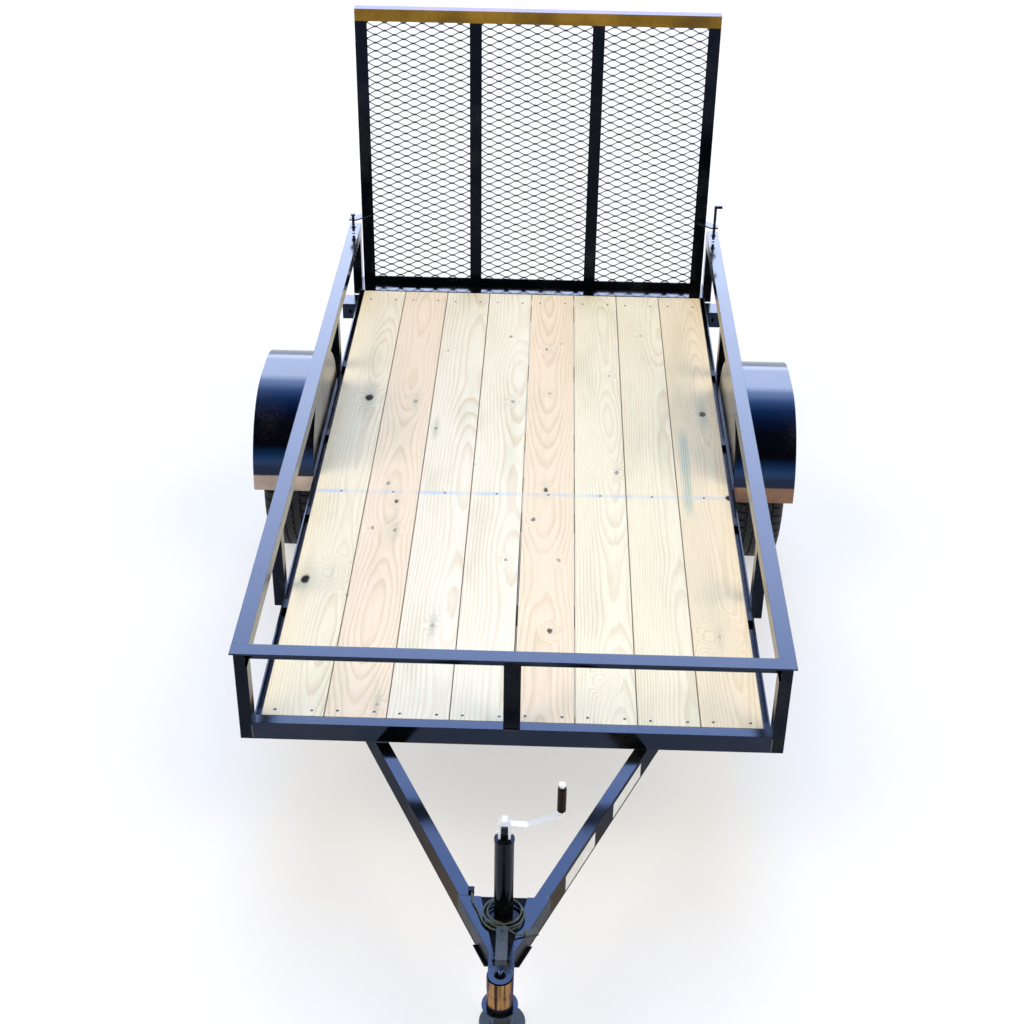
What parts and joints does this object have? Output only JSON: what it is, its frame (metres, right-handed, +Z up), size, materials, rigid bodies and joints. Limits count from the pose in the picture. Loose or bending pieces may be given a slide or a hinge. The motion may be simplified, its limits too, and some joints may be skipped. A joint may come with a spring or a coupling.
{
  "type": "utility trailer",
  "caption": "Open utility trailer with plank bed, angle-steel rails, sprung axle, mesh ramp gate, V tongue with ball coupler and a screw jack.",
  "frame": {"origin": "on the ground, midway along and across the trailer", "axes": "+X to the right as seen from the tongue looking back, +Y from the tongue to the ramp gate, +Z up"},
  "size_m": [1.976, 4.106, 1.702],
  "materials": {
    "black_paint": "gloss",
    "pine": "matt",
    "tyre": "matt",
    "wheel_paint": "satin",
    "zinc": "satin",
    "lamp": "gloss",
    "cord": "matt"
  },
  "bodies": {
    "trailer": {"side_member_left": "black_paint", "side_member_right": "black_paint", "front_beam": "black_paint", "rear_beam": "black_paint", "cross_members": "black_paint", "deck_boards": "pine", "top_rail_left": "black_paint", "top_rail_right": "black_paint", "top_rail_front": "black_paint", "side_posts_left": "black_paint", "side_posts_right": "black_paint", "front_post": "black_paint", "tongue_left": "black_paint", "tongue_right": "black_paint", "coupler": "black_paint", "latch_lever": "zinc", "jack_tube": "black_paint", "jack_crank": "zinc", "axle": "black_paint", "leaf_spring_left": "black_paint", "leaf_spring_right": "black_paint", "spring_hangers": "black_paint", "spring_clamps": "black_paint", "fender_left": "black_paint", "fender_right": "black_paint", "lamp_boxes": "black_paint", "tail_lamps": "lamp", "hinge_barrels": "black_paint", "cord_clip": "zinc", "cord_lead": "cord", "cord_coil": "cord", "cord_tail": "cord", "cord_plug": "cord"},
    "wheel_left": {"tyre_left": "tyre", "rim_left": "wheel_paint", "hub_left": "black_paint"},
    "wheel_right": {"tyre_right": "tyre", "rim_right": "wheel_paint", "hub_right": "black_paint"},
    "gate": {"gate_frame": "black_paint", "gate_mesh": "black_paint", "gate_hinges": "black_paint", "gate_latch_left": "black_paint", "gate_latch_right": "black_paint"},
    "jack_leg": {"jack_leg": "zinc"}
  },
  "joints": [
    {"name": "wheel_left_spin", "type": "hinge", "parent": "trailer", "child": "wheel_left", "pos_m": [-0.875, 0.686, 0.338], "axis": [1, 0, 0], "continuous": true},
    {"name": "wheel_right_spin", "type": "hinge", "parent": "trailer", "child": "wheel_right", "pos_m": [0.875, 0.686, 0.338], "axis": [1, 0, 0], "continuous": true},
    {"name": "gate_tilt", "type": "hinge", "parent": "trailer", "child": "gate", "pos_m": [0, 1.988, 0.444], "axis": [-1, 0, 0], "range_deg": [0, 107.5]},
    {"name": "jack_extend", "type": "slide", "parent": "trailer", "child": "jack_leg", "axis": [0, 0, 1], "range_m": [0, 0.25]}
  ]
}
